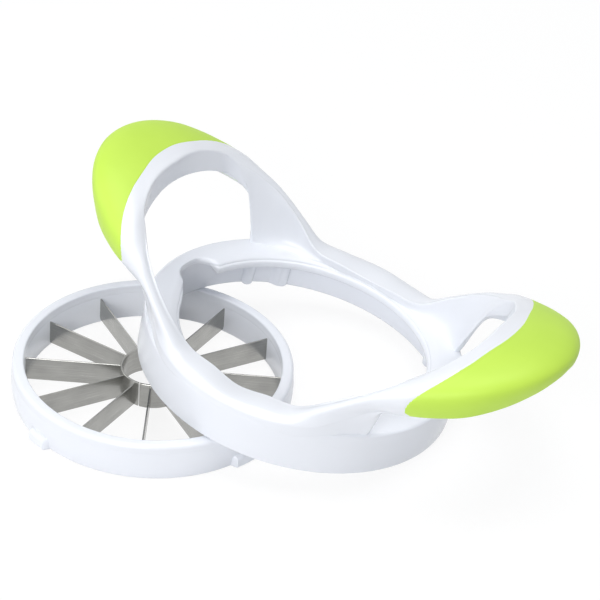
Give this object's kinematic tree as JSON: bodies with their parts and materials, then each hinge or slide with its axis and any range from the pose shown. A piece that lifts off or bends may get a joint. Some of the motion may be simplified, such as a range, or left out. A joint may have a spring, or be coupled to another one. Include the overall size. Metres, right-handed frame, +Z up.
{
  "type": "apple slicer press",
  "caption": "Hand press that slices and cores an apple: a round insert with radial blades and a core ring, and a separate ring frame with two raised grips.",
  "frame": {"origin": "on the table under the middle of the whole arrangement", "axes": "+Z up from the table; +X runs along the press frame's two grips, towards the one that stands lower in the picture"},
  "size_m": [0.207, 0.15, 0.084],
  "materials": {
    "white_plastic": "glossy moulded white",
    "lime_grip": "soft-touch satin lime green",
    "blade_steel": "cold-rolled strip, finely brushed"
  },
  "bodies": {
    "blade_insert": {"insert_base_ring": "white_plastic", "insert_cap_ring": "white_plastic", "core_ring": "blade_steel", "blade_01": "blade_steel", "blade_02": "blade_steel", "blade_03": "blade_steel", "blade_04": "blade_steel", "blade_05": "blade_steel", "blade_06": "blade_steel", "blade_07": "blade_steel", "blade_08": "blade_steel", "blade_09": "blade_steel", "blade_10": "blade_steel", "blade_11": "blade_steel", "blade_12": "blade_steel"},
    "frame": {"press_frame": "white_plastic", "grip_right": "lime_grip", "grip_left": "lime_grip"}
  },
  "joints": [
    {"name": "frame_lift", "type": "slide", "parent": "blade_insert", "child": "frame", "axis": [0, 0, 1], "range_m": [0, 0.06]}
  ]
}
